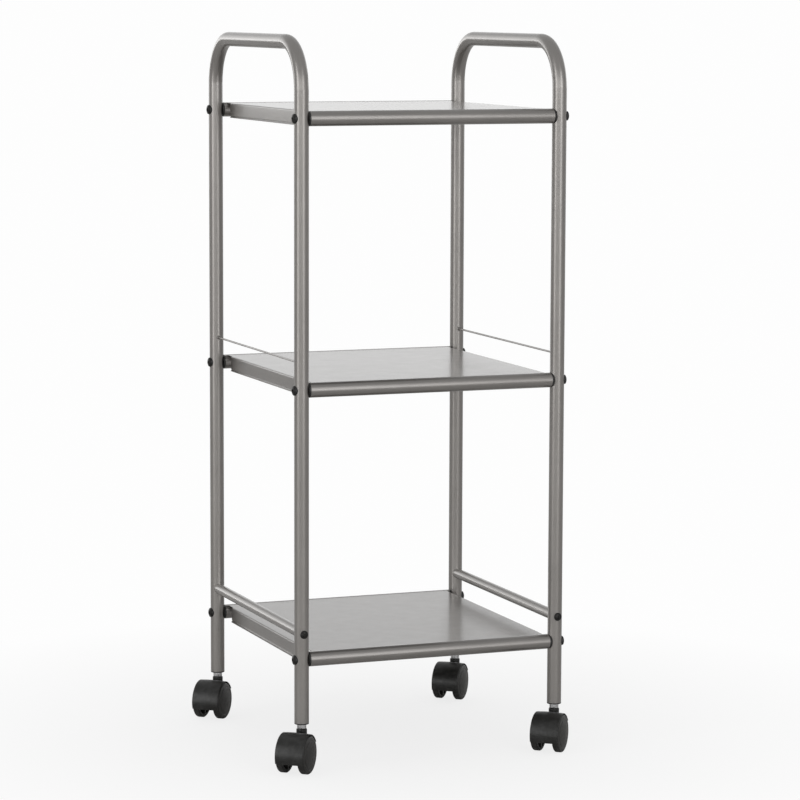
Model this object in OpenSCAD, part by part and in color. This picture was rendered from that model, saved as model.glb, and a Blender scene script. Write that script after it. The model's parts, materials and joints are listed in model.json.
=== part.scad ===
// Three-tier rolling utility cart: two bent-tube side frames, three sheet-steel shelves, four twin-wheel
// casters. The origin is the centre of the bottom shelf's deck. +Z is up, the front is -Y, +X is right.

/* [Side frames] */
// Width between the post centres, left to right
post_spacing_x = 358; // [320:1:440]
// Depth between the post centres, front to back
post_spacing_y = 351; // [320:1:440]
// Outside diameter of the frame tube
tube_d = 19; // [18.5:0.1:19.5]
// Wall of the frame tube
tube_wall = 1.2; // [1:0.1:1.2]
// Radius of the handle's bends, along the middle of the tube
bend_r = 60; // [50:1:75]
// Height of the middle of the handle above the top deck
handle_rise = 87.5; // [78:0.5:150]
// Length of leg below the bottom deck
leg_drop = 94; // [88:0.5:130]

/* [Shelves] */
// Rise from the bottom deck to the middle deck
lower_bay = 351; // [220:1:430]
// Rise from the middle deck to the top deck
upper_bay = 347.5; // [220:0.5:430]
// Thickness of the sheet steel
sheet_t = 0.9; // [0.8:0.1:1.2]
// Outside diameter of the rolled front and rear edges
bead_d = 19.5; // [19.3:0.1:20]
// Height by which the rolled edges stand above the deck
bead_rise = 0.5; // [0.4:0.1:0.8]
// Depth of the folded side edges
flange_h = 19.5; // [14:0.5:26]
// Outside radius of the fold along the side edges
fold_r = 2; // [1.6:0.1:3]

/* [Rails and guard wires] */
// Outside diameter of the lower side rails
rail_d = 14; // [13.8:0.1:14.5]
// Wall of the lower side rails
rail_wall = 1; // [0.8:0.1:1.2]
// Height of the lower side rails above the bottom deck
rail_rise = 25; // [18:0.5:60]
// Diameter of the guard wires
wire_d = 2.6; // [2:0.1:4]
// Height of the guard wires above the middle deck
wire_rise = 25.5; // [12:0.5:60]

/* [Casters] */
// Diameter of the wheels
wheel_d = 50; // [48:0.5:51]
// Width across the two wheels of one caster
caster_w = 44.5; // [43:0.5:47]
// Gap between the two wheels of one caster
wheel_gap = 21; // [18:0.5:21.5]
// Distance from the swivel axis back to the axle
trail = 20; // [17.5:0.5:20.5]
// Height of the leg ends above the floor
caster_h = 61; // [60:0.5:63]
// Direction in which the wheels trail, from +X towards +Y
heading = -131; // [-180:1:180]

/* [Hidden] */
$fn = 64;

// corners of the cart, as signs of x and y
front_left = [-1, -1];
front_right = [1, -1];
rear_left = [-1, 1];
rear_right = [1, 1];
corners = [front_left, front_right, rear_left, rear_right];

// colours
paint = [0.55, 0.54, 0.53];
deck_paint = [0.66, 0.65, 0.64];
black_plastic = [0.10, 0.10, 0.10];
black_steel = [0.13, 0.13, 0.13];
bright_steel = [0.80, 0.80, 0.82];
brass = [0.72, 0.60, 0.35];

// frame
post_x = post_spacing_x / 2;
post_y = post_spacing_y / 2;
tube_r = tube_d / 2;
tube_bore_r = tube_r - tube_wall;
middle_z = lower_bay;
top_z = lower_bay + upper_bay;
handle_z = top_z + handle_rise;
bend_z = handle_z - bend_r;
socket_rim_t = 1.5;
leg_end_z = -leg_drop;
tube_end_z = leg_end_z + socket_rim_t;
past = 1; // how far a cut runs past the solid it cuts

// shelves
bead_r = bead_d / 2;
bead_bore_r = bead_r - sheet_t;
bead_z = bead_rise - bead_r; // middle of a rolled edge, below its deck
rim_t = 0.7; // an edge plug's rim, where the post comes nearest
flange_inset = 3.1; // from the ends of the rolled edges to the folded side edges
flange_end_gap = 13.5; // between a folded side edge and the rolled edge in front of it
bead_x = post_x - tube_r - rim_t; // ends of the rolled edges
flange_x = bead_x - flange_inset; // outside of the folded side edges
flange_y = post_y - bead_r - flange_end_gap; // ends of the folded side edges
fold_steps = 5;

// shelf bolts, M6
bolt_r = 2.95;
bolt_hole_r = 3.25;
bolt_length = 34;
bolt_head_r = 6.1;
bolt_head_h = 2.8;
bolt_head_edge = 1; // straight side of the head, under its dome
hex_key = 4; // across flats
hex_depth = 2;
washer_r = 6.5;
washer_t = 0.8; // where the post bulges most
bolt_seat_x = post_x + tube_r + washer_t; // underside of the bolt heads

// edge plugs and their threaded inserts
plug_clearance = 0.1; // between a plug and the inside of its rolled edge
plug_r = bead_bore_r - plug_clearance;
plug_length = 21;
plug_rim_r = bead_r - 0.2;
saddle_depth = 1.6; // how far the rim wraps round the post
insert_r = 4.5;
insert_length = 14;
insert_inset = 3; // from the end of the rolled edge to the insert
slack = 0.05; // between parts that are pressed or screwed together

// rail fixings, M5
rail_r = rail_d / 2;
rail_z = rail_rise;
rail_nut_length = 16;
rail_nut_gap = 1; // between a rail's end nut and the post
rail_nut_y = post_y - tube_r - rail_nut_gap; // outer end of a rail's end nut
screw_r = 2.45;
screw_hole_r = 2.75;
screw_length = 30;
screw_head_r = 5.4;
screw_head_h = 2.8;
screw_head_edge = 0.8;
screw_slot_w = 1.2;
screw_slot_l = 5.4;
screw_slot_depth = 1.4;

// guard wires
wire_z = middle_z + wire_rise;
wire_length = post_spacing_y - tube_d;

// caster stem and socket
socket_length = 34;
socket_bore_depth = 31;
stem_r = 4;
stem_top = 29; // above the leg's end
collar_r = 6;
collar_h = 6;
grip_z = 24; // middle of the grip ring, above the leg's end
grip_h = 3.6;
grip_groove_r = 3.4;
grip_ring_r = 4.5;
grip_recess_r = 4.7;
pin_r = 3; // below the collar
pin_length = 18;
clip_z = -14; // middle of the clip, below the collar
clip_h = 1;
clip_groove_r = 2.4;
clip_r = 3.5;
running_gap = 0.05; // radial, where one part turns in another

// caster hood and wheels
floor_z = leg_end_z - caster_h;
wheel_r = wheel_d / 2;
axle_z = floor_z + wheel_r;
collar_z = leg_end_z - collar_h;
swivel_gap = 0.3; // between the stem's collar and the boss
boss_top_z = collar_z - swivel_gap;
boss_r = 7;
boss_length = 15;
hood_gap = 1; // between the wheel and the inside of the hood
hood_wall = 1.8;
hood_bore_r = wheel_r + hood_gap;
hood_r = hood_bore_r + hood_wall;
hood_inset = 3.1; // from the middle of a wheel's domed face to the edge of the hood
hood_w = caster_w - 2 * hood_inset;
hood_back_angle = -19; // trailing edge of the hood, round the axle from straight back
hood_front_angle = 150; // leading edge of the hood
hood_web_w = 12; // the web of the hood between the wheels
hood_hub_r = 8.5;
hub_gap = 0.5; // between the hood's hub and a wheel
hood_hub_w = wheel_gap - 2 * hub_gap;
axle_r = 2.5;
wheel_w = (caster_w - wheel_gap) / 2;
wheel_cap_t = 3.5; // from the bottom of a wheel's bore to its outer face
wheel_bore_depth = wheel_w - wheel_cap_t;
axle_end_gap = 0.5; // between the axle's end and the bottom of the bore
axle_length = wheel_gap + 2 * (wheel_bore_depth - axle_end_gap);

// points along an arc, as [first coordinate, second coordinate]
function arc(centre, r, from, to, steps) =
    [for (i = [0 : steps]) let (a = from + (to - from) * i / steps) centre + r * [cos(a), sin(a)]];

// Side frames

// an inverted U of round bar, in the plane x = 0, with its ends at z = from_z
module inverted_u(d, from_z) {
    for (side = [0, 1]) mirror([0, side, 0]) {
        translate([0, post_y, from_z]) cylinder(d = d, h = bend_z - from_z);
        translate([0, post_y - bend_r, bend_z])
            rotate([90, 0, 90])
                rotate_extrude(angle = 90) translate([bend_r, 0]) circle(d = d);
    }
    translate([0, 0, handle_z])
        rotate([90, 0, 0]) cylinder(d = d, h = 2 * (post_y - bend_r), center = true);
}

module side_frame(side) {
    color(paint)
    translate([side * post_x, 0, 0])
    difference() {
        inverted_u(tube_d, tube_end_z);
        inverted_u(2 * tube_bore_r, tube_end_z - past);
        for (y = [-post_y, post_y]) {
            for (deck_z = [0, middle_z, top_z])
                translate([0, y, deck_z + bead_z])
                    rotate([0, 90, 0]) cylinder(r = bolt_hole_r, h = tube_d + 2 * past, center = true);
            translate([0, y, rail_z])
                rotate([90, 0, 0]) cylinder(r = screw_hole_r, h = tube_d + 2 * past, center = true);
        }
    }
}

// Lower side rails

// a rail's ends are coped to the posts
module lower_rail(side) {
    color(paint)
    translate([side * post_x, 0, rail_z])
    difference() {
        rotate([90, 0, 0]) cylinder(r = rail_r, h = post_spacing_y - tube_d / 2, center = true);
        rotate([90, 0, 0]) cylinder(r = rail_r - rail_wall, h = post_spacing_y, center = true);
        for (y = [-post_y, post_y])
            translate([0, y, 0]) cylinder(r = tube_r, h = 2 * rail_d, center = true);
    }
}

// puts a child at every place where a rail meets a post, with +Z pointing outwards along the rail
module at_rail_ends() {
    for (corner = corners)
        translate([corner.x * post_x, 0, rail_z])
            rotate([-90 * corner.y, 0, 0]) children();
}

module rail_end_nuts() {
    color(brass)
    at_rail_ends()
    translate([0, 0, rail_nut_y - rail_nut_length])
    difference() {
        cylinder(r = rail_r - rail_wall - slack, h = rail_nut_length);
        translate([0, 0, -past]) cylinder(r = screw_r + slack, h = rail_nut_length + 2 * past);
    }
}

// a domed head standing on z = 0
module domed_head(r, h, edge) {
    cap_h = h - edge;
    cap_r = (r * r + cap_h * cap_h) / (2 * cap_h);
    intersection() {
        cylinder(r = r, h = h);
        translate([0, 0, h - cap_r]) sphere(r = cap_r);
    }
}

module rail_screws() {
    color(black_steel)
    at_rail_ends()
    translate([0, 0, post_y + tube_r])
    difference() {
        union() {
            domed_head(screw_head_r, screw_head_h, screw_head_edge);
            translate([0, 0, -screw_length]) cylinder(r = screw_r, h = screw_length + screw_head_edge);
        }
        for (turn = [0, 90])
            rotate([0, 0, turn])
                translate([0, 0, screw_head_h])
                    cube([screw_slot_l, screw_slot_w, 2 * screw_slot_depth], center = true);
    }
}

// Guard wires

module guard_wire(side) {
    color(paint)
    translate([side * post_x, 0, wire_z])
        rotate([90, 0, 0]) cylinder(d = wire_d, h = wire_length, center = true);
}

// Shelves

// the deck with its folded sides, seen from the front
module folded_sheet_outline() {
    corner_x = flange_x - fold_r;
    inner_x = flange_x - sheet_t;
    inner_r = fold_r - sheet_t;
    polygon(concat(
        [[-flange_x, -flange_h]],
        arc([-corner_x, -fold_r], fold_r, 180, 90, fold_steps),
        arc([corner_x, -fold_r], fold_r, 90, 0, fold_steps),
        [[flange_x, -flange_h], [inner_x, -flange_h]],
        arc([corner_x, -fold_r], inner_r, 0, 90, fold_steps),
        arc([-corner_x, -fold_r], inner_r, 90, 180, fold_steps),
        [[-inner_x, -flange_h]]));
}

module shelf(deck_z) {
    color(deck_paint)
    translate([0, 0, deck_z])
    difference() {
        union() {
            rotate([90, 0, 0])
                linear_extrude(height = 2 * flange_y, center = true) folded_sheet_outline();
            translate([0, 0, -sheet_t / 2])
                cube([2 * (flange_x - fold_r), post_spacing_y, sheet_t], center = true);
            for (y = [-post_y, post_y])
                translate([0, y, bead_z])
                    rotate([0, 90, 0]) cylinder(r = bead_r, h = 2 * bead_x, center = true);
        }
        for (y = [-post_y, post_y])
            translate([0, y, bead_z])
                rotate([0, 90, 0]) cylinder(r = bead_bore_r, h = 2 * (bead_x + past), center = true);
    }
}

// puts a child at the middle of every post, at a shelf's bolts, with +Z pointing outwards along the bolt
module at_bolts(deck_z) {
    for (corner = corners)
        translate([0, corner.y * post_y, deck_z + bead_z])
            rotate([0, 90 * corner.x, 0]) children();
}

// each plug fills the end of a rolled edge, and its rim is hollowed to sit on the round post
module edge_plugs(deck_z) {
    rim_outer = post_x - tube_r + saddle_depth;
    insert_outer = bead_x - insert_inset;
    color(black_plastic)
    at_bolts(deck_z)
    difference() {
        union() {
            translate([0, 0, bead_x - plug_length]) cylinder(r = plug_r, h = plug_length);
            translate([0, 0, bead_x]) cylinder(r = plug_rim_r, h = rim_outer - bead_x);
        }
        translate([0, 0, post_x])
            rotate([0, 90, 0]) cylinder(r = tube_r, h = 2 * bead_d, center = true);
        translate([0, 0, bead_x - plug_length - past])
            cylinder(r = bolt_hole_r, h = plug_length + rim_outer - bead_x + 2 * past);
        translate([0, 0, insert_outer - insert_length - slack])
            cylinder(r = insert_r + slack, h = insert_length + 2 * slack);
    }
}

module plug_inserts(deck_z) {
    color(brass)
    at_bolts(deck_z)
    translate([0, 0, bead_x - insert_inset - insert_length])
    difference() {
        cylinder(r = insert_r, h = insert_length);
        translate([0, 0, -past]) cylinder(r = bolt_r + slack, h = insert_length + 2 * past);
    }
}

// flat outside, for the bolt's head, and hollowed inside to sit on the round post
module saddle_washers(deck_z) {
    color(black_plastic)
    at_bolts(deck_z)
    difference() {
        translate([0, 0, post_x]) cylinder(r = washer_r, h = bolt_seat_x - post_x);
        translate([0, 0, post_x])
            rotate([0, 90, 0]) cylinder(r = tube_r, h = 4 * washer_r, center = true);
        translate([0, 0, post_x]) cylinder(r = bolt_hole_r, h = 2 * tube_d);
    }
}

module shelf_bolts(deck_z) {
    color(black_steel)
    at_bolts(deck_z)
    translate([0, 0, bolt_seat_x])
    difference() {
        union() {
            domed_head(bolt_head_r, bolt_head_h, bolt_head_edge);
            translate([0, 0, -bolt_length]) cylinder(r = bolt_r, h = bolt_length + bolt_head_edge);
        }
        translate([0, 0, bolt_head_h - hex_depth])
            cylinder(d = hex_key / cos(30), h = hex_depth + past, $fn = 6);
    }
}

// Leg sockets and caster stems

// puts a child on a post's axis, at z = 0
module at_post(corner) {
    translate([corner.x * post_x, corner.y * post_y, 0]) children();
}

module leg_socket(corner) {
    color(black_plastic)
    at_post(corner)
    translate([0, 0, leg_end_z])
    difference() {
        union() {
            cylinder(r = tube_r, h = socket_rim_t);
            cylinder(r = tube_bore_r - slack, h = socket_length);
        }
        translate([0, 0, -past]) cylinder(r = stem_r + slack, h = socket_bore_depth + past);
        translate([0, 0, grip_z - grip_h / 2 - slack]) cylinder(r = grip_recess_r, h = grip_h + 2 * slack);
    }
}

module caster_stem(corner) {
    color(bright_steel)
    at_post(corner)
    translate([0, 0, leg_end_z])
    difference() {
        union() {
            cylinder(r = stem_r, h = stem_top);
            translate([0, 0, -collar_h]) cylinder(r = collar_r, h = collar_h);
            translate([0, 0, -collar_h - pin_length]) cylinder(r = pin_r, h = pin_length);
        }
        translate([0, 0, grip_z]) groove(stem_r, grip_groove_r, grip_h);
        translate([0, 0, clip_z - collar_h]) groove(pin_r, clip_groove_r, clip_h);
    }
}

// the space of a groove round a pin, centred on z = 0
module groove(outer_r, inner_r, h) {
    difference() {
        cylinder(r = outer_r + past, h = h, center = true);
        cylinder(r = inner_r, h = h + past, center = true);
    }
}

// a spring ring in a groove, centred on z = 0
module spring_ring(outer_r, inner_r, h) {
    difference() {
        cylinder(r = outer_r, h = h - 2 * slack, center = true);
        cylinder(r = inner_r + slack, h = h, center = true);
    }
}

module stem_grip_rings() {
    color(bright_steel)
    for (corner = corners)
        at_post(corner)
            translate([0, 0, leg_end_z + grip_z]) spring_ring(grip_ring_r, grip_groove_r, grip_h);
}

module stem_clips() {
    color(bright_steel)
    for (corner = corners)
        at_post(corner)
            translate([0, 0, collar_z + clip_z]) spring_ring(clip_r, clip_groove_r, clip_h);
}

// Casters

// puts a child on a caster's swivel axis at z = 0, with +X pointing the way the wheels trail
module at_caster(corner) {
    at_post(corner) rotate([0, 0, heading]) children();
}

// puts a child on a caster's axle, with +Z pointing along it to the right of the trailing direction
module at_axle(corner) {
    at_caster(corner)
        translate([trail, 0, axle_z])
            rotate([90, 0, 0]) children();
}

// the part of a disc from one angle to another, round the axle from straight back
module pie(r, from, to) {
    intersection() {
        circle(r = r);
        polygon(concat([[0, 0]], arc([0, 0], 2 * r, from, to, 4)));
    }
}

// a half barrel over both wheels, with a web between them and a boss for the stem
module caster_hood(corner) {
    color(black_plastic)
    difference() {
        union() {
            at_axle(corner) {
                linear_extrude(height = hood_w, center = true) pie(hood_r, hood_back_angle, hood_front_angle);
                cylinder(r = hood_hub_r, h = hood_hub_w, center = true);
            }
            at_caster(corner)
                translate([0, 0, boss_top_z - boss_length]) cylinder(r = boss_r, h = boss_length);
        }
        at_axle(corner) {
            for (side = [0, 1]) mirror([0, 0, side]) {
                translate([0, 0, hood_hub_w / 2]) cylinder(r = hood_bore_r, h = caster_w);
                translate([0, 0, hood_web_w / 2])
                    linear_extrude(height = hood_hub_w / 2)
                        difference() {
                            circle(r = hood_bore_r);
                            circle(r = hood_hub_r);
                        }
            }
            cylinder(r = axle_r + slack, h = caster_w, center = true);
        }
        at_caster(corner) {
            translate([0, 0, collar_z - pin_length - past])
                cylinder(r = pin_r + running_gap, h = pin_length + 2 * past);
            translate([0, 0, collar_z + clip_z])
                cylinder(r = clip_r + 2 * slack, h = clip_h + 4 * slack, center = true);
        }
    }
}

module caster_axle(corner) {
    color(bright_steel)
    at_axle(corner) cylinder(r = axle_r, h = axle_length, center = true);
}

// half of a wheel's section: distance from the axle, distance out from the inner face
module wheel_section() {
    bore_r = axle_r + running_gap;
    hub_r = 7;
    web_t = 4; // between the inner recess and the outer face, near the rim
    rim_r = wheel_r - 4;
    inner_edge = 1;
    edge_r = 2; // rounding between the tread and the outer face
    dome = 2.6; // rise of the outer face
    face_r = wheel_r - edge_r;
    face_w = wheel_w - dome;
    dome_r = (face_r * face_r + dome * dome) / (2 * dome);
    inner_recess = face_w - web_t;
    polygon(concat(
        [[bore_r, 0], [hub_r, 0], [hub_r, inner_recess], [rim_r, inner_recess], [rim_r, 0]],
        [[wheel_r - inner_edge, 0], [wheel_r, inner_edge]],
        arc([face_r, face_w - edge_r], edge_r, 0, 90, fold_steps),
        [for (i = [fold_steps - 1 : -1 : 0])
            let (r = face_r * i / fold_steps) [r, wheel_w - dome_r + sqrt(dome_r * dome_r - r * r)]],
        [[0, wheel_bore_depth], [bore_r, wheel_bore_depth]]));
}

module wheel(corner, side) {
    color(black_plastic)
    at_axle(corner)
    mirror([0, 0, side])
        translate([0, 0, wheel_gap / 2]) rotate_extrude() wheel_section();
}

side_frame(-1);  // side_frame_left
side_frame(1);  // side_frame_right
lower_rail(-1);  // lower_rail_left
lower_rail(1);  // lower_rail_right
rail_end_nuts();
rail_screws();
guard_wire(-1);  // guard_wire_left
guard_wire(1);  // guard_wire_right
shelf(0);  // shelf_bottom
shelf(middle_z);  // shelf_middle
shelf(top_z);  // shelf_top
edge_plugs(0);  // edge_plugs_bottom
edge_plugs(middle_z);  // edge_plugs_middle
edge_plugs(top_z);  // edge_plugs_top
plug_inserts(0);  // plug_inserts_bottom
plug_inserts(middle_z);  // plug_inserts_middle
plug_inserts(top_z);  // plug_inserts_top
saddle_washers(0);  // saddle_washers_bottom
saddle_washers(middle_z);  // saddle_washers_middle
saddle_washers(top_z);  // saddle_washers_top
shelf_bolts(0);  // shelf_bolts_bottom
shelf_bolts(middle_z);  // shelf_bolts_middle
shelf_bolts(top_z);  // shelf_bolts_top
leg_socket(front_left);  // leg_socket_front_left
leg_socket(front_right);  // leg_socket_front_right
leg_socket(rear_left);  // leg_socket_rear_left
leg_socket(rear_right);  // leg_socket_rear_right
caster_stem(front_left);  // caster_stem_front_left
caster_stem(front_right);  // caster_stem_front_right
caster_stem(rear_left);  // caster_stem_rear_left
caster_stem(rear_right);  // caster_stem_rear_right
stem_grip_rings();
stem_clips();
caster_hood(front_left);  // caster_hood_front_left
caster_hood(front_right);  // caster_hood_front_right
caster_hood(rear_left);  // caster_hood_rear_left
caster_hood(rear_right);  // caster_hood_rear_right
caster_axle(front_left);  // caster_axle_front_left
caster_axle(front_right);  // caster_axle_front_right
caster_axle(rear_left);  // caster_axle_rear_left
caster_axle(rear_right);  // caster_axle_rear_right
wheel(front_left, 0);  // wheel_front_left_a
wheel(front_left, 1);  // wheel_front_left_b
wheel(front_right, 0);  // wheel_front_right_a
wheel(front_right, 1);  // wheel_front_right_b
wheel(rear_left, 0);  // wheel_rear_left_a
wheel(rear_left, 1);  // wheel_rear_left_b
wheel(rear_right, 0);  // wheel_rear_right_a
wheel(rear_right, 1);  // wheel_rear_right_b
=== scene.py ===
"""The looks of a three-tier rolling utility cart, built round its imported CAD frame."""
import json
import math

import bmesh
import bpy
from mathutils import Matrix, Vector, noise


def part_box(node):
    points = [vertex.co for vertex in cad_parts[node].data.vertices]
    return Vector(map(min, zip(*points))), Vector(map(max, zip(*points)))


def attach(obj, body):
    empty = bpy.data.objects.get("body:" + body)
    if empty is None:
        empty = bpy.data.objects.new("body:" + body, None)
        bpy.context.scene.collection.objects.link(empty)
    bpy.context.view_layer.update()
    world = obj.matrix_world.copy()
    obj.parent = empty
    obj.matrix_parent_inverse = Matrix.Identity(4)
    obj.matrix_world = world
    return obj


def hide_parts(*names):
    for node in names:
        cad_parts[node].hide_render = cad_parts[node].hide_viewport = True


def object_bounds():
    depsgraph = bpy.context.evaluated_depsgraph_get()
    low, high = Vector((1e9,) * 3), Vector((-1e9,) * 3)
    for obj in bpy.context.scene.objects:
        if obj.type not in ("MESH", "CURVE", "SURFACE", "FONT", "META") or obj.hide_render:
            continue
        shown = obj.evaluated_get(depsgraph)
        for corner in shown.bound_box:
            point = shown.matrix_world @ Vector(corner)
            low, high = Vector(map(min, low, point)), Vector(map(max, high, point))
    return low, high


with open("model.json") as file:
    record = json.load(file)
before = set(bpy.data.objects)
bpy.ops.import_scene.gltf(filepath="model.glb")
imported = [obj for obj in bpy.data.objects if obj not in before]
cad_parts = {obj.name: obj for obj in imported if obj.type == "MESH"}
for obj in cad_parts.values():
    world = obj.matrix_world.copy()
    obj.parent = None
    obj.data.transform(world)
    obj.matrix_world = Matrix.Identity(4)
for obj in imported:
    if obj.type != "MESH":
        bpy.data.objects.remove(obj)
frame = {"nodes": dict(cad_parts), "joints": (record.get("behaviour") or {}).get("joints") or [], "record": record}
cad_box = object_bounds()

MM = 0.001
SLACK = 0.05 * MM  # between parts that fit into each other
CORNERS = ("front_left", "front_right", "rear_left", "rear_right")
LEVELS = ("bottom", "middle", "top")
X_AXIS = Vector((1, 0, 0))
Z_AXIS = Vector((0, 0, 1))


# Places and sizes, from the frame

def middle(node):
    """The middle of a CAD node's box."""
    low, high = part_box(node)
    return (low + high) / 2


def joint_place(name):
    return Vector(next(j["pos_m"] for j in frame["joints"] if j["name"] == name))


def frame_turn(z_axis, x_hint):
    """The turn that takes +Z to z_axis, and +X as near as it can to x_hint."""
    z_axis = z_axis.normalized()
    y_axis = z_axis.cross(x_hint).normalized()
    return Matrix((y_axis.cross(z_axis), y_axis, z_axis)).transposed().to_4x4()


def post_place(corner):
    """The middle of a post, at the height of its lower end."""
    x, y, _ = middle("leg_socket_" + corner)
    return Vector((x, y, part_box("leg_socket_" + corner)[0].z))


def bolt_places(level):
    """Where a shelf's four bolts cross the posts' middles, with +Z pointing outwards along the bolt."""
    height = middle("shelf_bolts_" + level).z
    for corner in CORNERS:
        post = post_place(corner)
        out = Vector((math.copysign(1, post.x), 0, 0))
        yield Matrix.Translation((post.x, post.y, height)) @ frame_turn(out, Z_AXIS)


def rail_screw_places():
    """Where the rail screws cross the posts' middles, with +Z pointing outwards along the screw."""
    height = middle("rail_screws").z
    for corner in CORNERS:
        post = post_place(corner)
        out = Vector((0, math.copysign(1, post.y), 0))
        yield Matrix.Translation((post.x, post.y, height)) @ frame_turn(out, Z_AXIS)


def caster_place(corner):
    """A caster's own frame: its origin is the middle of the axle, +X is the way it trails and +Z is up."""
    axle = joint_place(f"roll_{corner}_a")
    swivel = joint_place("swivel_" + corner)
    return Matrix.Translation(axle) @ frame_turn(Z_AXIS, Vector((axle.x - swivel.x, axle.y - swivel.y, 0)))


def wheel_place(corner, side):
    """A wheel's own frame: its origin is the middle of the axle and +Z points out of its outer face."""
    axle = joint_place(f"roll_{corner}_{side}")
    out = middle(f"wheel_{corner}_{side}") - axle
    return Matrix.Translation(axle) @ frame_turn(out, Z_AXIS)


POST = post_place("rear_right")
TUBE_R = middle("side_frame_right").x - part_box("side_frame_right")[0].x
FLOOR_Z = cad_box[0].z
AXLE_Z = joint_place("roll_front_left_a").z
WHEEL_R = AXLE_Z - FLOOR_Z
TRAIL = (joint_place("roll_front_left_a") - joint_place("swivel_front_left")).xy.length
DECK_Z = {m["name"].replace("_deck", ""): m["pos_m"][2] for m in frame["record"]["mounts"]}


# Shapes. An outline is a list of points that goes once round a flat shape.

def rounded(corners, steps=4):
    """An outline with rounded corners. Each corner is (u, v) for a sharp one or (u, v, radius)."""
    outline = []
    for i, corner in enumerate(corners):
        here = Vector(corner[:2])
        if len(corner) == 2:
            outline.append(tuple(here))
            continue
        back = (Vector(corners[i - 1][:2]) - here).normalized()
        ahead = (Vector(corners[(i + 1) % len(corners)][:2]) - here).normalized()
        half = back.angle(ahead) / 2
        centre = here + (back + ahead).normalized() * corner[2] / math.sin(half)
        first = here + back * corner[2] / math.tan(half) - centre
        turn = (math.pi - 2 * half) / steps
        if back.x * ahead.y - back.y * ahead.x > 0:
            turn = -turn
        for k in range(steps + 1):
            c, s = math.cos(k * turn), math.sin(k * turn)
            outline.append((centre.x + c * first.x - s * first.y, centre.y + s * first.x + c * first.y))
    return outline


def arc(centre_u, centre_v, radius, start, end, steps):
    """Points of an arc, from one angle in degrees to another."""
    angles = [math.radians(start + (end - start) * i / steps) for i in range(steps + 1)]
    return [(centre_u + radius * math.cos(a), centre_v + radius * math.sin(a)) for a in angles]


def solid(faces):
    """A closed mesh from its faces, each a list of points."""
    bm = bmesh.new()
    for points in faces:
        bm.faces.new([bm.verts.new(point) for point in points])
    bmesh.ops.remove_doubles(bm, verts=bm.verts, dist=1e-7)
    bmesh.ops.dissolve_degenerate(bm, edges=bm.edges, dist=1e-7)
    bmesh.ops.delete(bm, geom=[e for e in bm.edges if not e.link_faces], context="EDGES")
    bmesh.ops.recalc_face_normals(bm, faces=bm.faces)
    if bm.calc_volume(signed=True) < 0:
        bmesh.ops.reverse_faces(bm, faces=bm.faces)
    mesh = bpy.data.meshes.new("solid")
    bm.to_mesh(mesh)
    bm.free()
    return mesh


def loft(rings, closed):
    """A solid through rings of points. Unless it closes on itself, its ends are capped."""
    count = len(rings[0])
    faces = [] if closed else [rings[0], rings[-1]]
    for i in range(len(rings) if closed else len(rings) - 1):
        a, b = rings[i], rings[(i + 1) % len(rings)]
        faces += [(a[k], a[(k + 1) % count], b[(k + 1) % count], b[k]) for k in range(count)]
    return solid(faces)


def revolve(outline, start=0, end=360, steps=64):
    """Turns an outline of (distance from the axis, height) round the Z axis, from +X towards +Y."""
    full = end - start == 360
    angles = [math.radians(start + (end - start) * i / steps) for i in range(steps + (0 if full else 1))]
    return loft([[(r * math.cos(a), r * math.sin(a), z) for r, z in outline] for a in angles], full)


def extrude(outline, low, high):
    """Stands an outline of (x, y) up from z = low to z = high."""
    return loft([[(x, y, z) for x, y in outline] for z in (low, high)], False)


def as_object(mesh, place=None):
    made = bpy.data.objects.new("shape", mesh)
    if place is not None:
        mesh.transform(place)
    bpy.context.scene.collection.objects.link(made)
    return made


def apply_modifiers(shape):
    """Puts a shape's modifiers into its mesh."""
    bpy.context.view_layer.update()
    done = bpy.data.meshes.new_from_object(shape.evaluated_get(bpy.context.evaluated_depsgraph_get()))
    shape.modifiers.clear()
    shape.data = done
    return shape


def combine(shape, others, operation):
    """Adds or cuts the other shapes, and deletes them."""
    for other in others:
        boolean = shape.modifiers.new("boolean", "BOOLEAN")
        boolean.operation = operation
        boolean.solver = "EXACT"
        boolean.object = other
    apply_modifiers(shape)
    for other in others:
        bpy.data.objects.remove(other)
    return shape


def soften(shape, width, segments=2, angle=35):
    """Rounds a shape's edges that are sharper than the angle."""
    bevel = shape.modifiers.new("bevel", "BEVEL")
    bevel.width = width
    bevel.segments = segments
    bevel.limit_method = "ANGLE"
    bevel.angle_limit = math.radians(angle)
    bevel.miter_outer = "MITER_ARC"
    return apply_modifiers(shape)


def shade(mesh, angle=32):
    """Smooth shading, with the edges that are sharper than the angle left sharp."""
    bm = bmesh.new()
    bm.from_mesh(mesh)
    for face in bm.faces:
        face.smooth = True
    for edge in bm.edges:
        edge.smooth = len(edge.link_faces) == 2 and edge.calc_face_angle() < math.radians(angle)
    bm.to_mesh(mesh)
    bm.free()


def repeat(shape, places):
    """One object with a copy of the shape at every place, instead of the shape."""
    bm = bmesh.new()
    for place in places:
        copy = shape.data.copy()
        copy.transform(place)
        bm.from_mesh(copy)
        bpy.data.meshes.remove(copy)
    bm.to_mesh(shape.data)
    bm.free()
    return shape


def piece(name, shape, body, slot, *nodes):
    """Finishes a piece: its shading, its material, the body it rides on and the CAD nodes it stands for."""
    shape.name = name
    shape.data.name = name
    shade(shape.data)
    weighted = shape.modifiers.new("weighted", "WEIGHTED_NORMAL")
    weighted.keep_sharp = True
    shape.data.materials.clear()
    shape.data.materials.append(MATERIALS[slot])
    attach(shape, body)
    if nodes:
        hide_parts(*nodes)
    return shape


# Materials. Lengths are in metres, and the patterns are fixed to the parts.

COLOUR_A, COLOUR_B, COLOUR_OUT = 6, 7, 2  # the colour sockets of a Mix node


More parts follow.
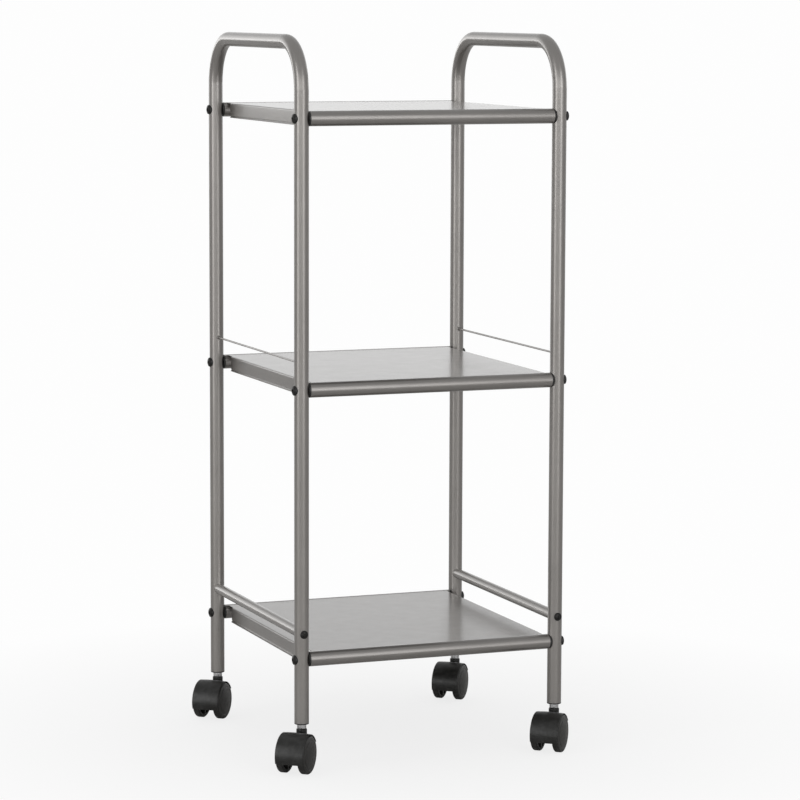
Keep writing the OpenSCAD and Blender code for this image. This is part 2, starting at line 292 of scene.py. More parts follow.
class Nodes:
    """A material's nodes, with short ways to add to them."""

    def __init__(self, name):
        self.material = bpy.data.materials.new(name)
        self.material.use_nodes = True
        self.tree = self.material.node_tree
        self.surface = self.tree.nodes["Principled BSDF"]
        self.place = self.add("ShaderNodeTexCoord").outputs["Object"]

    def add(self, kind, inputs=None, **settings):
        node = self.tree.nodes.new(kind)
        for name, value in settings.items():
            setattr(node, name, value)
        for name, value in (inputs or {}).items():
            self.put(node.inputs[name], value)
        return node

    def put(self, socket, value):
        if isinstance(value, bpy.types.NodeSocket):
            self.tree.links.new(value, socket)
        else:
            socket.default_value = value

    def set(self, **inputs):
        """Sets inputs of the surface."""
        for name, value in inputs.items():
            self.put(self.surface.inputs[name.replace("_", " ")], value)

    def noise(self, feature, detail=2.0, stretch=None):
        """Noise of about 0.3 to 0.7, whose bumps are about as wide as the feature."""
        place = self.place
        if stretch:
            place = self.add("ShaderNodeMapping", {"Vector": place, "Scale": stretch}).outputs["Vector"]
        inputs = {"Vector": place, "Scale": 1 / feature, "Detail": detail}
        return self.add("ShaderNodeTexNoise", inputs).outputs["Fac"]

    def cells(self, feature):
        """A random value of 0 to 1 in each small cell."""
        cells = self.add("ShaderNodeTexVoronoi", {"Vector": self.place, "Scale": 1 / feature})
        return self.add("ShaderNodeSeparateColor", {"Color": cells.outputs["Color"]}).outputs["Red"]

    def remap(self, value, low, high, to_low=0.0, to_high=1.0):
        """Takes low to high into to_low to to_high, and stops there."""
        inputs = {"Value": value, "From Min": low, "From Max": high, "To Min": to_low, "To Max": to_high}
        return self.add("ShaderNodeMapRange", inputs).outputs["Result"]

    def mix(self, share, a, b):
        """Colour a where the share is 0, and colour b where it is 1."""
        node = self.add("ShaderNodeMix", {"Factor": share}, data_type="RGBA")
        self.put(node.inputs[COLOUR_A], (*a, 1) if isinstance(a, tuple) else a)
        self.put(node.inputs[COLOUR_B], (*b, 1) if isinstance(b, tuple) else b)
        return node.outputs[COLOUR_OUT]

    def sums(self, a, b, operation="ADD"):
        node = self.add("ShaderNodeMath", operation=operation)
        self.put(node.inputs[0], a)
        self.put(node.inputs[1], b)
        return node.outputs["Value"]

    def edges(self, radius):
        """About 1 on edges that are sharper than the radius, and 0 elsewhere."""
        true_normal = self.add("ShaderNodeNewGeometry").outputs["Normal"]
        soft_normal = self.add("ShaderNodeBevel", {"Radius": radius}, samples=4).outputs["Normal"]
        dot = self.add("ShaderNodeVectorMath", operation="DOT_PRODUCT")
        self.put(dot.inputs[0], true_normal)
        self.put(dot.inputs[1], soft_normal)
        return self.remap(dot.outputs["Value"], 0.97, 0.80)

    def bump(self, height, depth, under=None):
        """The normal of bumps of that depth, on top of another normal if one is given."""
        inputs = {"Height": height, "Distance": depth}
        if under is not None:
            inputs["Normal"] = under
        return self.add("ShaderNodeBump", inputs).outputs["Normal"]


def painted_steel(name, tone, roughness):
    """Metallic warm-grey powder coat: fine flakes, orange peel, slight wear along the edges."""
    flake_size = 0.35 * MM
    flake_share = 0.22  # how far the brightest flakes go towards bare metal
    n = Nodes(name)
    darker = tuple(0.96 * c for c in tone)
    lighter = tuple(1.04 * c for c in tone)
    worn = tuple(1.5 * c for c in tone)
    patches = n.remap(n.noise(0.05, 3), 0.35, 0.65)
    colour = n.mix(patches, darker, lighter)
    flakes = n.remap(n.cells(flake_size), 0.2, 0.9, 0.0, flake_share)
    colour = n.mix(flakes, colour, worn)
    scuffs = n.remap(n.noise(4 * MM, 4), 0.45, 0.62)
    wear = n.sums(n.edges(0.5 * MM), scuffs, "MULTIPLY")
    colour = n.mix(n.sums(wear, 0.5, "MULTIPLY"), colour, worn)
    peel = n.bump(n.noise(1.8 * MM, 1), 0.03 * MM)
    grit = n.bump(n.cells(flake_size), 0.006 * MM, peel)
    n.set(Base_Color=colour, Metallic=0.8, Normal=grit)
    n.set(Roughness=n.remap(n.noise(0.02, 3), 0.3, 0.7, roughness - 0.02, roughness + 0.02))
    n.set(Coat_Weight=0.9, Coat_Roughness=0.18)
    return n.material


def moulded_plastic(name, tone, roughness, grain, depth):
    """Black moulded plastic with a fine spark-eroded grain, and rubbed edges."""
    n = Nodes(name)
    rubbed = tuple(c + 0.035 for c in tone)
    dusty = tuple(c + 0.012 for c in tone)
    colour = n.mix(n.remap(n.noise(6 * MM, 4), 0.4, 0.65), tone, dusty)
    wear = n.sums(n.edges(0.6 * MM), n.remap(n.noise(2 * MM, 3), 0.4, 0.6), "MULTIPLY")
    colour = n.mix(n.sums(wear, 0.6, "MULTIPLY"), colour, rubbed)
    n.set(Base_Color=colour, Normal=n.bump(n.noise(grain, 3), depth))
    n.set(Roughness=n.remap(n.noise(5 * MM, 3), 0.3, 0.7, roughness - 0.06, roughness + 0.08))
    n.set(Specular_IOR_Level=0.5)
    return n.material


def wheel_nylon(name):
    """Satin black nylon, with fine turning marks and pale dust and scuffs on the tread."""
    n = Nodes(name)
    dust = n.remap(n.noise(3 * MM, 5), 0.48, 0.70)
    streaks = n.remap(n.noise(1.2 * MM, 3, (1, 1, 4)), 0.45, 0.68)
    colour = n.mix(n.sums(dust, 0.5, "MULTIPLY"), (0.010, 0.010, 0.009), (0.040, 0.037, 0.034))
    colour = n.mix(n.sums(streaks, 0.25, "MULTIPLY"), colour, (0.040, 0.038, 0.035))
    n.set(Base_Color=colour, Normal=n.bump(n.noise(0.5 * MM, 3), 0.02 * MM))
    n.set(Roughness=n.remap(n.noise(4 * MM, 3), 0.3, 0.7, 0.30, 0.46))
    return n.material


def black_oxide(name):
    """Blackened screw steel, a little worn to bare metal on its edges."""
    n = Nodes(name)
    stains = n.remap(n.noise(1.5 * MM, 4), 0.4, 0.65)
    colour = n.mix(stains, (0.018, 0.018, 0.018), (0.040, 0.038, 0.036))
    wear = n.sums(n.edges(0.3 * MM), n.remap(n.noise(0.8 * MM, 3), 0.45, 0.6), "MULTIPLY")
    colour = n.mix(n.sums(wear, 0.6, "MULTIPLY"), colour, (0.22, 0.21, 0.20))
    n.set(Base_Color=colour, Metallic=0.7, Normal=n.bump(n.noise(0.3 * MM, 3), 0.01 * MM))
    n.set(Roughness=n.remap(n.noise(1 * MM, 3), 0.3, 0.7, 0.32, 0.48))
    return n.material


def plated_metal(name, tone, roughness, stretch):
    """Plated or turned bare metal, slightly stained. The stretch sets which way its fine marks run."""
    n = Nodes(name)
    darker = tuple(0.75 * c for c in tone)
    colour = n.mix(n.remap(n.noise(3 * MM, 4), 0.35, 0.65), darker, tone)
    n.set(Base_Color=colour, Metallic=1.0)
    n.set(Normal=n.bump(n.noise(0.8 * MM, 2, stretch), 0.012 * MM))
    n.set(Roughness=n.remap(n.noise(2 * MM, 3), 0.3, 0.7, roughness - 0.05, roughness + 0.08))
    return n.material


ROUND_UPRIGHT = (0.15, 0.15, 5)  # for marks that run round an upright pin
ROUND_LEVEL = (5, 0.15, 0.15)  # for marks that run round an insert, which lies along X
UNSTRETCHED = (1, 1, 1)
MATERIALS = {
    "frame_paint": painted_steel("frame_paint", (0.290, 0.276, 0.262), 0.34),
    "shelf_paint": painted_steel("shelf_paint", (0.265, 0.252, 0.240), 0.36),
    "plug_plastic": moulded_plastic("plug_plastic", (0.008, 0.008, 0.008), 0.45, 0.4 * MM, 0.02 * MM),
    "hood_plastic": moulded_plastic("hood_plastic", (0.010, 0.010, 0.009), 0.36, 0.6 * MM, 0.04 * MM),
    "wheel_plastic": wheel_nylon("wheel_plastic"),
    "black_screws": black_oxide("black_screws"),
    "stem_steel": plated_metal("stem_steel", (0.72, 0.72, 0.73), 0.26, ROUND_UPRIGHT),
    "axle_steel": plated_metal("axle_steel", (0.60, 0.60, 0.61), 0.30, UNSTRETCHED),
    "spring_steel": plated_metal("spring_steel", (0.42, 0.42, 0.44), 0.34, ROUND_UPRIGHT),
    "insert_brass": plated_metal("insert_brass", (0.62, 0.45, 0.20), 0.30, ROUND_LEVEL),
}

for subpart in frame["record"]["subparts"]:
    node = frame["nodes"][subpart["node"]]
    node.data.materials.clear()
    node.data.materials.append(MATERIALS[subpart["material_slot"]])


# Screws, washers and plugs. Each is built along +Z, with its origin in the middle of the post.

def rod(radius, low, high):
    """The section of a plain round rod, as (distance from the axis, height)."""
    return [(0, low), (radius, low), (radius, high), (0, high)]


def post_space():
    """The space of a post that crosses a screw at the origin."""
    half = 20 * MM
    return as_object(revolve(rod(TUBE_R, -half, half), steps=96), Matrix.Rotation(math.radians(90), 4, "Y"))


def dome(radius, edge_z, top_z, steps=8):
    """Points of a screw head's domed top, from its edge to the axis."""
    rise = top_z - edge_z
    ball = (radius ** 2 + rise ** 2) / (2 * rise)
    spread = math.degrees(math.asin(radius / ball))
    return arc(0, top_z - ball, ball, 90 - spread, 90, steps)


def screw(head, seat, shank_r, length):
    """A screw whose head's underside is at z = seat. The head is an outline from its edge to the axis."""
    tip = seat - length
    chamfer = 0.6 * MM
    shank = [(0, tip), (shank_r - chamfer, tip), (shank_r, tip + chamfer), (shank_r, seat)]
    return as_object(revolve(shank + head, steps=48))


def shelf_bolt():
    """A button-head bolt with a hexagon socket."""
    head_r, head_h, edge_h, round_r = 6.1 * MM, 2.8 * MM, 1.0 * MM, 0.25 * MM
    hex_r, hex_depth, rim = 2.31 * MM, 1.9 * MM, 0.35 * MM
    shank_r, length = 2.95 * MM, 34 * MM
    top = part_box("shelf_bolts_top")[1].x - POST.x
    seat = top - head_h
    head = [(head_r - round_r, seat), (head_r, seat + round_r)]
    head += dome(head_r, seat + edge_h, top)
    bolt = screw(head, seat, shank_r, length)
    socket = as_object(revolve(rod(hex_r, top - hex_depth, top + MM), steps=6))
    mouth = as_object(revolve([
        (0, top - rim), (hex_r - 0.2 * MM, top - rim), (hex_r + 2 * rim, top + rim), (0, top + rim)]))
    combine(bolt, [socket, mouth], "DIFFERENCE")
    return soften(bolt, 0.12 * MM, 2, 50)


def rail_screw():
    """A pan-head screw with a cross recess that narrows towards its bottom."""
    head_r, head_h, edge_h, round_r = 5.4 * MM, 2.8 * MM, 0.8 * MM, 0.25 * MM
    depth, reach, width = 1.4 * MM, 2.7 * MM, 0.6 * MM
    shank_r, length = 2.45 * MM, 30 * MM
    seat = TUBE_R
    top = seat + head_h
    head = [(head_r - round_r, seat), (head_r, seat + round_r)]
    head += dome(head_r, seat + edge_h, top)
    made = screw(head, seat, shank_r, length)
    cuts = []
    for turn in (0, 90):
        rings = []
        for z, share in ((top - depth, 0.55), (top + depth, 1.45)):
            u, v = reach * share, width * share
            rings.append([(u, -v, z), (u, v, z), (-u, v, z), (-u, -v, z)])
        cuts.append(as_object(loft(rings, False), Matrix.Rotation(math.radians(turn), 4, "Z")))
    combine(made, cuts, "DIFFERENCE")
    return soften(made, 0.12 * MM, 2, 50)


def saddle_washer():
    """A washer that is flat outside and hollowed to the post inside, with a rounded outer corner."""
    radius, hole_r, thin, corner = 6.5 * MM, 3.25 * MM, 0.8 * MM, 0.5 * MM
    top = TUBE_R + thin
    outline = rounded([(hole_r, 0), (radius, 0), (radius, top, corner), (hole_r, top, corner / 2)])
    washer = as_object(revolve(outline, steps=72))
    return combine(washer, [post_space()], "DIFFERENCE")


def edge_plug():
    """A plug in the end of a rolled edge: its rim is hollowed to the post, and it holds the brass insert."""
    plug_r, rim_r, hole_r, corner = 8.75 * MM, 9.55 * MM, 3.25 * MM, 0.4 * MM
    length, insert_length = 21 * MM, 14 * MM
    wrap = 1.6 * MM  # how far the rim reaches round the post
    low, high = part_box("plug_inserts_top")
    insert_r = (high.z - low.z) / 2 + SLACK
    insert_end = high.x - POST.x
    pocket = (insert_end + SLACK, insert_end - insert_length - SLACK)
    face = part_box("shelf_top")[1].x - POST.x
    outline = rounded([
        (hole_r, face - length), (plug_r, face - length, 2 * corner), (plug_r, face), (rim_r, face),
        (rim_r, wrap - TUBE_R, corner), (hole_r, wrap - TUBE_R),
        (hole_r, pocket[0]), (insert_r, pocket[0]), (insert_r, pocket[1]), (hole_r, pocket[1])])
    plug = as_object(revolve(outline, steps=72))
    return combine(plug, [post_space()], "DIFFERENCE")


for level in LEVELS:
    for name, shape, slot, node in (
            ("bolts_", shelf_bolt, "black_screws", "shelf_bolts_"),
            ("washers_", saddle_washer, "plug_plastic", "saddle_washers_"),
            ("plugs_", edge_plug, "plug_plastic", "edge_plugs_")):
        piece(name + level, repeat(shape(), bolt_places(level)), "frame", slot, node + level)
piece("screws_of_rails", repeat(rail_screw(), rail_screw_places()), "frame", "black_screws", "rail_screws")


# Shelves

SHEET_T = 0.9 * MM
ROLL_Z = middle("shelf_bolts_top").z - DECK_Z["top"]  # middle of a rolled edge, from its deck
ROLL_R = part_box("shelf_top")[1].z - DECK_Z["top"] - ROLL_Z
ROLL_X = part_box("shelf_top")[1].x  # ends of the rolled edges
FLANGE_X = ROLL_X - 3.1 * MM
FLANGE_Y = POST.y - ROLL_R - 13.5 * MM
FLANGE_H = DECK_Z["top"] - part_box("shelf_top")[0].z
FOLD_R = 2 * MM


def rolled_edge():
    """A rolled edge's section, as (distance inwards from the middle of the roll, height above the deck).

    The deck rises into the roll through a small hollow curve, and the roll stops just under the deck.
    """
    hollow_r = 6 * MM
    gap = 5  # degrees between the end of the roll and the underside of the deck
    reach = math.sqrt((ROLL_R + hollow_r) ** 2 - (hollow_r - ROLL_Z) ** 2)
    top = math.degrees(math.atan2(hollow_r - ROLL_Z, reach))
    under = math.degrees(math.asin((-SHEET_T - ROLL_Z) / ROLL_R))
    end = 360 + under - gap
    outside = arc(reach, hollow_r, hollow_r, 270, 180 + top, 4) + arc(0, ROLL_Z, ROLL_R, top, end, 44)
    inside = arc(0, ROLL_Z, ROLL_R - SHEET_T, end, top, 44)
    inside += arc(reach, hollow_r, hollow_r + SHEET_T, 180 + top, 270, 4)
    return outside + inside, reach


def folded_side():
    """A folded side's section, as (x, height above the deck), from the deck's top to its underside."""
    fold_x = FLANGE_X - FOLD_R
    inner_x = FLANGE_X - SHEET_T
    outside = arc(fold_x, -FOLD_R, FOLD_R, 90, 0, 8) + [(FLANGE_X, -FLANGE_H)]
    inside = [(inner_x, -FLANGE_H)] + arc(fold_x, -FOLD_R, FOLD_R - SHEET_T, 0, 90, 8)
    return outside + inside


def round_flange_ends(mesh, radius):
    """Rounds the lower corners of the folded sides."""
    bm = bmesh.new()
    bm.from_mesh(mesh)
    corners = [
        edge for edge in bm.edges
        if all(abs(v.co.z + FLANGE_H) < 1e-6 and abs(abs(v.co.y) - FLANGE_Y) < 1e-6 for v in edge.verts)]
    bmesh.ops.bevel(bm, geom=corners, offset=radius, segments=5, profile=0.5, affect="EDGES")
    bm.to_mesh(mesh)
    bm.free()


def folded_side_faces(sx):
    """The faces of the folded side on the left (sx = -1) or the right (sx = 1)."""
    side = folded_side()
    faces = [[(sx * x, y, z) for x, z in side] for y in (-FLANGE_Y, FLANGE_Y)]
    for (x1, z1), (x2, z2) in zip(side, side[1:]):
        faces.append([(sx * x, y, z) for x, y, z in (
            (x1, -FLANGE_Y, z1), (x1, FLANGE_Y, z1), (x2, FLANGE_Y, z2), (x2, -FLANGE_Y, z2))])
    return faces


def rolled_edge_faces(sy, section, deck_x, deck_y):
    """The faces of the front (sy = -1) or rear (sy = 1) rolled edge, and the sheet's cut edges beside it."""
    faces = []
    for sx in (-1, 1):
        faces.append([(sx * ROLL_X, sy * (POST.y - u), z) for u, z in section])
        for x1, y1, x2, y2 in ((deck_x, FLANGE_Y, deck_x, deck_y), (deck_x, deck_y, ROLL_X, deck_y)):
            faces.append([(sx * x, sy * y, z) for x, y, z in (
                (x1, y1, 0), (x2, y2, 0), (x2, y2, -SHEET_T), (x1, y1, -SHEET_T))])
    rows = [[(x, sy * (POST.y - u), z) for x in (-ROLL_X, ROLL_X)] for u, z in section]
    for k in (0, -1):  # the rows that meet the deck have its corners in them
        (_, y, z), _ = rows[k]
        rows[k] = [(x, y, z) for x in (-ROLL_X, -deck_x, deck_x, ROLL_X)]
    return faces + [a + b[::-1] for a, b in zip(rows, rows[1:])]


def shelf():
    """A sheet-steel shelf with its deck at z = 0: the deck, its folded sides and its rolled edges."""
    section, reach = rolled_edge()
    deck_x = FLANGE_X - FOLD_R
    deck_y = POST.y - reach
    around = [(deck_x, y) for y in (-deck_y, -FLANGE_Y, FLANGE_Y, deck_y)]
    around += [(-x, -y) for x, y in around]
    faces = [[(x, y, z) for x, y in around] for z in (0, -SHEET_T)]
    for sx in (-1, 1):
        faces += folded_side_faces(sx)
    for sy in (-1, 1):
        faces += rolled_edge_faces(sy, section, deck_x, deck_y)
    mesh = solid(faces)
    round_flange_ends(mesh, 3 * MM)
    return as_object(mesh)


for level in LEVELS:
    made = shelf()
    made.data.transform(Matrix.Translation((0, 0, DECK_Z[level])))
    piece("sheet_" + level, made, "frame", "shelf_paint", "shelf_" + level)


# Guard wires, with the welds that hold them to the posts

def lumpy_welds(mesh, place, wire_r):
    """Makes the weld beads of a guard wire uneven, and leaves the wire between them as it is."""
    lump_size = 0.9 * MM
    bm = bmesh.new()
    bm.from_mesh(mesh)
    for vertex in bm.verts:
        away = vertex.co - place
        radial = Vector((away.x, 0, away.z))
        lump = max(0, radial.length - wire_r) * noise.noise(vertex.co / lump_size)
        if radial.length > 1e-9:
            vertex.co += radial.normalized() * 0.5 * lump
    bm.to_mesh(mesh)
    bm.free()


def guard_wire(node):
    """A wire that widens into a weld bead at each end, with the posts cut out of it."""
    place = middle(node)
    low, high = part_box(node)
    wire_r = (high.z - low.z) / 2
    end = (high.y - low.y) / 2 + 0.5 * MM  # inside the post's curve
    weld_r, weld_l = 2.3 * wire_r, 3.2 * wire_r
    steps = 6
    flare = []
    for i in range(steps + 1):
        flare.append((wire_r + (weld_r - wire_r) * (i / steps) ** 2, end - weld_l * (1 - i / steps)))
    outline = flare + [(0, end), (0, -end)] + [(r, -z) for r, z in reversed(flare)]
    turned = Matrix.Translation(place) @ Matrix.Rotation(math.radians(90), 4, "X")
    wire = as_object(revolve(outline, steps=20), turned)
    lumpy_welds(wire.data, place, wire_r)
    post = rod(TUBE_R, place.z - 9 * MM, place.z + 9 * MM)
    posts = []
    for y in (-POST.y, POST.y):
        posts.append(as_object(revolve(post, steps=96), Matrix.Translation((place.x, y, 0))))
    return combine(wire, posts, "DIFFERENCE")


for side in ("left", "right"):
    piece("wire_" + side, guard_wire("guard_wire_" + side), "frame", "frame_paint", "guard_wire_" + side)


# Leg sockets and caster stems. Their origin is the middle of the leg's end, with +Z up.

SOCKET_BORE_R = 4.05 * MM
STEM_R = 4 * MM
COLLAR_R = 6 * MM
GRIP_Z, GRIP_H = 24 * MM, 3.6 * MM  # the grip ring's middle and height
CLIP_Z, CLIP_H = -20 * MM, 1.0 * MM  # the clip's middle and height


def leg_socket():
    """A plastic socket in the end of a leg: its rim covers the tube's end."""
    low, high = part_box("leg_socket_rear_right")
    rim_t, body_r, bore_top, recess_r = 1.5 * MM, 8.25 * MM, 31 * MM, 4.7 * MM
    height = high.z - low.z
    grip_low, grip_high = GRIP_Z - GRIP_H / 2 - SLACK, GRIP_Z + GRIP_H / 2 + SLACK
    outline = rounded([
        (SOCKET_BORE_R, 0, 0.4 * MM), (TUBE_R, 0, 0.5 * MM), (TUBE_R, rim_t), (body_r, rim_t),
        (body_r, height, 1.2 * MM), (0, height), (0, bore_top), (SOCKET_BORE_R, bore_top),
        (SOCKET_BORE_R, grip_high), (recess_r, grip_high), (recess_r, grip_low), (SOCKET_BORE_R, grip_low)])
    return as_object(revolve(outline))


def caster_stem():
    """A plated stem: a grip groove at the top, a collar, and a pin with a clip groove below it."""
    low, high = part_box("caster_stem_rear_right")
    leg_end = POST.z
    top = high.z - leg_end
    tip = low.z - leg_end
    collar = joint_place("swivel_rear_right").z - leg_end
    pin_r, grip_groove_r, clip_groove_r, corner = 3 * MM, 3.4 * MM, 2.4 * MM, 0.6 * MM
    outline = rounded([
        (0, tip), (pin_r, tip, corner),
        (pin_r, CLIP_Z - CLIP_H / 2), (clip_groove_r, CLIP_Z - CLIP_H / 2),
        (clip_groove_r, CLIP_Z + CLIP_H / 2), (pin_r, CLIP_Z + CLIP_H / 2),
        (pin_r, collar), (COLLAR_R, collar, corner), (COLLAR_R, 0, corner), (STEM_R, 0),
        (STEM_R, GRIP_Z - GRIP_H / 2), (grip_groove_r, GRIP_Z - GRIP_H / 2),
        (grip_groove_r, GRIP_Z + GRIP_H / 2), (STEM_R, GRIP_Z + GRIP_H / 2),
        (STEM_R, top, 1.2 * MM), (0, top)], 3)
    return as_object(revolve(outline))


for corner in CORNERS:
    leg_end = Matrix.Translation(post_place(corner))
    socket = repeat(leg_socket(), [leg_end])
    stem = repeat(caster_stem(), [leg_end])
    piece("socket_" + corner, socket, "frame", "plug_plastic", "leg_socket_" + corner)
    piece("stem_" + corner, stem, "frame", "stem_steel", "caster_stem_" + corner)


# Caster hoods and wheels. Their origin is the middle of the axle.

AXLE_R = 2.5 * MM
WEB_W = 12 * MM  # the hood's web between the wheels
HOOD_R = WHEEL_R + 2.75 * MM
HOOD_BORE_R = WHEEL_R + 1.0 * MM
HUB_HALF_W = 10 * MM
BOSS_TOP = joint_place("swivel_rear_right").z - 0.3 * MM - AXLE_Z
ACROSS = Matrix.Rotation(math.radians(90), 4, "X")  # turns a shape's Z axis to run along the axle
ON_SWIVEL = Matrix.Translation((-TRAIL, 0, 0))  # takes a shape from the axle to the swivel's axis


def circle(radius, steps):
    return arc(0, 0, radius, 0, 360, steps)[:-1]


def hood_section():
    """The section of the hood and its web, as (distance from the axle, place along the axle)."""
    half_w = 19.15 * MM
    crown = 0.7 * MM  # how far the hood's outside falls away at its sides
    lip = 0.5 * MM
    side_r = HOOD_R - crown
    crown_r = (half_w ** 2 + crown ** 2) / (2 * crown)
    spread = math.degrees(math.asin((half_w - lip) / crown_r))
    outline = [(0, -WEB_W / 2), (HOOD_BORE_R, -WEB_W / 2)]
    outline += [(HOOD_BORE_R, -half_w + lip / 2), (HOOD_BORE_R + lip / 2, -half_w), (side_r - lip, -half_w)]
    outline += arc(HOOD_R - crown_r, 0, crown_r, -spread, spread, 8)
    outline += [(side_r - lip, half_w), (HOOD_BORE_R + lip / 2, half_w), (HOOD_BORE_R, half_w - lip / 2)]
    return outline + [(HOOD_BORE_R, WEB_W / 2), (0, WEB_W / 2)]


def swivel_boss():
    """The boss round the caster's stem, cut away where the wheels turn."""
    boss_r, boss_h, edge = 7 * MM, 15 * MM, 1.0 * MM
    bottom = BOSS_TOP - boss_h
    outline = rounded([(0, bottom), (boss_r, bottom), (boss_r, BOSS_TOP, edge), (0, BOSS_TOP)])
    boss = as_object(revolve(outline), ON_SWIVEL)
    wheel_space = circle(HOOD_BORE_R + 0.3 * MM, 96)
    web_half = WEB_W / 2 + 0.1 * MM
    reach = 30 * MM
    spaces = [
        as_object(extrude(wheel_space, *sorted((side * web_half, side * reach))), ACROSS) for side in (-1, 1)]
    return combine(boss, spaces, "DIFFERENCE")


def pin_space():
    """The bore for the stem's pin, with room for the clip."""
    pin_r, clip_r = 3.05 * MM, 3.6 * MM
    clip = POST.z + CLIP_Z - AXLE_Z
    clip_half = CLIP_H / 2 + 0.1 * MM
    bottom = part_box("caster_stem_rear_right")[0].z - AXLE_Z - MM
    outline = [
        (0, bottom), (pin_r, bottom), (pin_r, clip - clip_half), (clip_r, clip - clip_half),
        (clip_r, clip + clip_half), (pin_r, clip + clip_half), (pin_r, BOSS_TOP + MM), (0, BOSS_TOP + MM)]
    return as_object(revolve(outline, steps=50), ON_SWIVEL)


def caster_hood():
    """A half barrel over both wheels, slightly crowned, with a web between the wheels, a hub and a boss."""
    back, front = -19, 150  # the hood's trailing and leading edges, in degrees round the axle
    hood = as_object(revolve(hood_section(), back, front, 40), ACROSS)
    hub = as_object(extrude(circle(8.5 * MM, 40), -HUB_HALF_W, HUB_HALF_W), ACROSS)
    combine(hood, [hub, swivel_boss()], "UNION")
    axle_space = as_object(extrude(circle(AXLE_R + SLACK, 40), -2 * HUB_HALF_W, 2 * HUB_HALF_W), ACROSS)
    combine(hood, [pin_space(), axle_space], "DIFFERENCE")
    return soften(hood, 0.35 * MM, 3, 40)


def wheel():
    """A wheel with a domed outer face, and ribs inside. Its inner face is at z = half the wheels' gap."""
    wheel_r = WHEEL_R - 0.02 * MM
    inner, width, dome_h = 10.5 * MM, 11.75 * MM, 2.6 * MM
    bore_r, bore_depth = AXLE_R + SLACK, 8.25 * MM
    corner, face_r = 2.0 * MM, wheel_r - 2.0 * MM
    groove_r, groove_w, groove_d = 0.76 * wheel_r, 0.5 * MM, 0.35 * MM
    ball = (face_r ** 2 + dome_h ** 2) / (2 * dome_h)

    def dome_z(r):
        return inner + width - ball + math.sqrt(ball ** 2 - r ** 2)

    groove_z = dome_z(groove_r) - groove_d
    outline = [(bore_r, inner), (wheel_r - MM, inner), (wheel_r, inner + MM)]
    outline += arc(face_r, inner + width - dome_h - corner, corner, 0, 90, 7)
    outline += [(r, dome_z(r)) for r in (0.95 * face_r, 0.90 * face_r, groove_r + groove_w)]
    outline += [(groove_r + groove_w / 2, groove_z), (groove_r - groove_w / 2, groove_z)]
    outline.append((groove_r - groove_w, dome_z(groove_r - groove_w)))
    outline += [(r, dome_z(r)) for r in (groove_r * k / 8 for k in range(7, -1, -1))]
    outline += [(0, inner + bore_depth), (bore_r, inner + bore_depth)]
    made = as_object(revolve(outline, steps=96))
    combine(made, wheel_pockets(wheel_r, inner), "DIFFERENCE")
    return soften(made, 0.3 * MM, 2, 40)


def wheel_pockets(wheel_r, inner):
    """The spaces between the ribs on a wheel's inner face."""
    hub_r, rim_r, depth, rib = 7 * MM, wheel_r - 4 * MM, 5.15 * MM, 1.4 * MM
    ribs = 6
    pocket = [(hub_r, inner - MM), (rim_r, inner - MM), (rim_r, inner + depth), (hub_r, inner + depth)]
    half = math.degrees(math.asin(rib / 2 / hub_r))
    pockets = []
    for k in range(ribs):
        start = 360 * k / ribs + half
        pockets.append(as_object(revolve(pocket, start, start + 360 / ribs - 2 * half, 14)))
    return pockets


for corner in CORNERS:
    body = "caster_" + corner
    hood = repeat(caster_hood(), [caster_place(corner)])
    piece("hood_" + corner, hood, body, "hood_plastic", "caster_hood_" + corner)
    for side in "ab":
        name = f"wheel_{corner}_{side}"
        piece("rolling_" + name, repeat(wheel(), [wheel_place(corner, side)]), name, "wheel_plastic", name)


# Stage: a plain pale floor, soft studio light and the camera

CAMERA_PLACE = Vector((-1.5683, -4.0953, 0.8431))
CAMERA_HEADING = math.radians(21.256)  # from +Y towards +X
CAMERA_DIP = math.radians(7.038)
CAMERA_ROLL = math.radians(0.194)
CAMERA_LENS = 146.93
FADE_START, FADE_END = 0.25, 0.85  # where the floor's shadows fade out, from the middle of the bottom shelf
FLOOR_WHITE = 0.985
FLOOR_LIFT = 0.8  # how far the shadows under the cart are lightened
AHEAD = Vector((
    math.sin(CAMERA_HEADING) * math.cos(CAMERA_DIP),
    math.cos(CAMERA_HEADING) * math.cos(CAMERA_DIP),
    -math.sin(CAMERA_DIP)))
RIGHT = AHEAD.cross(Z_AXIS).normalized()
# The brightness of the room's walls, at degrees round from the camera to its right
ROOM = (
    (-180, 0.85), (-160, 0.85), (-140, 1.5), (-125, 1.25), (-105, 0.35), (-75, 0.42), (-45, 1.4),
    (20, 1.4), (70, 0.4), (105, 0.35), (140, 1.0), (160, 0.85), (180, 0.85))
CEILING = 0.5
CEILING_START, CEILING_END = 0.1, 0.55  # where walls turn into ceiling, as the sine of the elevation
HORIZON_GLOW = 0.6  # how much brighter the room is at the height of the horizon
GLOW_END = 0.16  # where that glow ends, as the sine of the elevation


def camera():
    data = bpy.data.cameras.new("camera")
    data.lens = CAMERA_LENS
    data.sensor_width = 36
    data.clip_end = 100
    made = bpy.data.objects.new("camera", data)
    made.matrix_world = (
        Matrix.Translation(CAMERA_PLACE)
        @ frame_turn(-AHEAD, RIGHT)
        @ Matrix.Rotation(CAMERA_ROLL, 4, "Z"))
    bpy.context.scene.collection.objects.link(made)
    bpy.context.scene.camera = made


